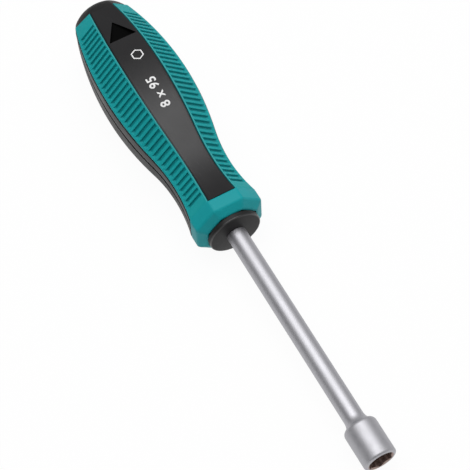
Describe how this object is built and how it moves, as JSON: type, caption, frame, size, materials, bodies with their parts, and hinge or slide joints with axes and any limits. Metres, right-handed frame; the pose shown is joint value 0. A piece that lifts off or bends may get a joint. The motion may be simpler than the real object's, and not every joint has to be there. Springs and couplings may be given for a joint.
{
  "type": "nut driver",
  "caption": "Hand nut driver: magnetic hexagon socket on a round steel shaft, with a waisted eight-panel handle of hard plastic and a ribbed soft grip.",
  "frame": {"origin": "centre of the socket's mouth, on the tool's axis", "axes": "+X along the axis, out of the socket's mouth; +Z out of the panel that has the triangular recess; +Y completes the right-handed frame"},
  "size_m": [0.1999, 0.0314, 0.0314],
  "materials": {
    "shaft_steel": "satin chrome plate on a drawn steel bar",
    "socket_steel": "satin chrome plate on a forged socket",
    "magnet_metal": "dull plated disc magnet",
    "hard_plastic": "satin moulded hard plastic",
    "soft_grip": "fine matt soft grip moulded over the core"
  },
  "bodies": {
    "root": {"shaft": "shaft_steel", "socket_head": "socket_steel", "magnet": "magnet_metal", "handle_core": "hard_plastic", "grip": "soft_grip"}
  },
  "joints": []
}
